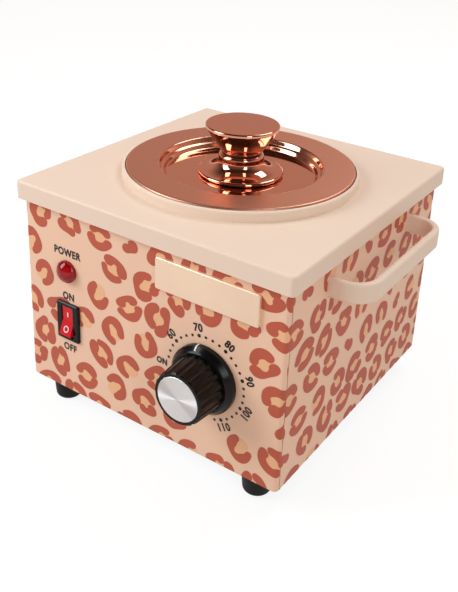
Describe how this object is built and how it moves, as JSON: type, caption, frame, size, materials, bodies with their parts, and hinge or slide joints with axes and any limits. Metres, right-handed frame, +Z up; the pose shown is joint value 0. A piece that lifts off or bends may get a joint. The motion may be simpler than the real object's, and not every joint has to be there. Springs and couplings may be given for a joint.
{
  "type": "candle wax melter",
  "caption": "Square bench heater that melts candle wax in a lift-out pot under a copper lid, with a thermostat dial, rocker switch, pilot lamp and side handles.",
  "frame": {"origin": "on the floor, below the middle of the overall box", "axes": "+X to the right as the front is seen, +Y to the back, +Z up"},
  "size_m": [0.291, 0.2672, 0.2274],
  "materials": {
    "printed_sheet": "satin powder coat with a spotted print",
    "cream_enamel": "smooth satin enamel",
    "cream_moulding": "satin heat-proof moulding",
    "copper": "polished copper plate",
    "rose_gold": "brushed rose gold plate",
    "spun_aluminium": "spun, brushed in rings",
    "zinc_steel": "zinc plated",
    "black_gloss": "black, glossy",
    "black_matte": "black, fine texture",
    "black_rubber": "soft matte rubber",
    "red_plastic": "red, translucent, glossy",
    "red_lens": "deep red, clear",
    "clear_glass": "lamp glass",
    "mica": "mica and steel band",
    "ceramic": "white ceramic",
    "glass_fibre": "glass-fibre blanket",
    "fibre_washer": "dark fibre",
    "copper_tube": "drawn copper",
    "nickel_brass": "nickel plated brass",
    "wire_sleeve": "silicone sleeve"
  },
  "bodies": {
    "casing": {"front_panel": "printed_sheet", "wrap_casing": "printed_sheet", "base_plate": "zinc_steel", "top_cover": "cream_enamel", "cover_studs": "zinc_steel", "cover_nuts": "zinc_steel", "base_screws": "zinc_steel", "foot_screws": "zinc_steel", "foot_washers": "zinc_steel", "foot_nuts": "zinc_steel", "foot_front_left": "black_rubber", "foot_front_right": "black_rubber", "foot_back_left": "black_rubber", "foot_back_right": "black_rubber", "handle_left": "cream_enamel", "handle_right": "cream_enamel", "handle_screws": "zinc_steel", "handle_washers": "zinc_steel", "collar_ring": "cream_moulding", "collar_screws": "zinc_steel", "heating_well": "spun_aluminium", "band_heater": "mica", "heater_bolts": "zinc_steel", "heater_nuts": "zinc_steel", "heater_posts": "ceramic", "insulation_wrap": "glass_fibre", "thermal_cutoff": "black_matte", "sensor_bulb": "copper_tube", "sensor_clips": "zinc_steel", "capillary_tube": "copper_tube", "thermostat_plate": "zinc_steel", "thermostat_body": "zinc_steel", "thermostat_screws": "zinc_steel", "thermostat_blades": "nickel_brass", "switch_housing": "black_gloss", "switch_blades": "nickel_brass", "pilot_lens": "red_lens", "pilot_barrel": "black_matte", "pilot_lamp": "clear_glass", "pilot_nut": "black_matte", "pilot_blades": "nickel_brass", "nameplate": "rose_gold", "inlet_socket": "black_matte", "inlet_pins": "nickel_brass", "inlet_screws": "zinc_steel", "inlet_nuts": "zinc_steel", "terminal_block": "black_matte", "block_screws": "zinc_steel", "earth_stud": "zinc_steel", "wiring": "wire_sleeve"},
    "pot": {"wax_pot": "spun_aluminium"},
    "lid": {"lid": "copper", "lid_dish": "copper", "lid_spacer": "fibre_washer", "lid_knob": "copper", "lid_screw": "zinc_steel"},
    "dial": {"thermostat_shaft": "zinc_steel", "control_knob": "black_gloss", "knob_disc": "spun_aluminium"},
    "rocker": {"switch_rocker": "red_plastic"}
  },
  "joints": [
    {"name": "pot_lift", "type": "slide", "parent": "casing", "child": "pot", "axis": [0, 0, 1], "range_m": [0, 0.14]},
    {"name": "lid_lift", "type": "slide", "parent": "pot", "child": "lid", "axis": [0, 0, 1], "range_m": [0, 0.1]},
    {"name": "dial_turn", "type": "hinge", "parent": "casing", "child": "dial", "pos_m": [0.054, -0.10235, 0.0857], "axis": [0, 1, 0], "range_deg": [-82, 174]},
    {"name": "rocker_tip", "type": "hinge", "parent": "casing", "child": "rocker", "pos_m": [-0.0735, -0.09935, 0.0819], "axis": [1, 0, 0], "range_deg": [0, 20]}
  ]
}
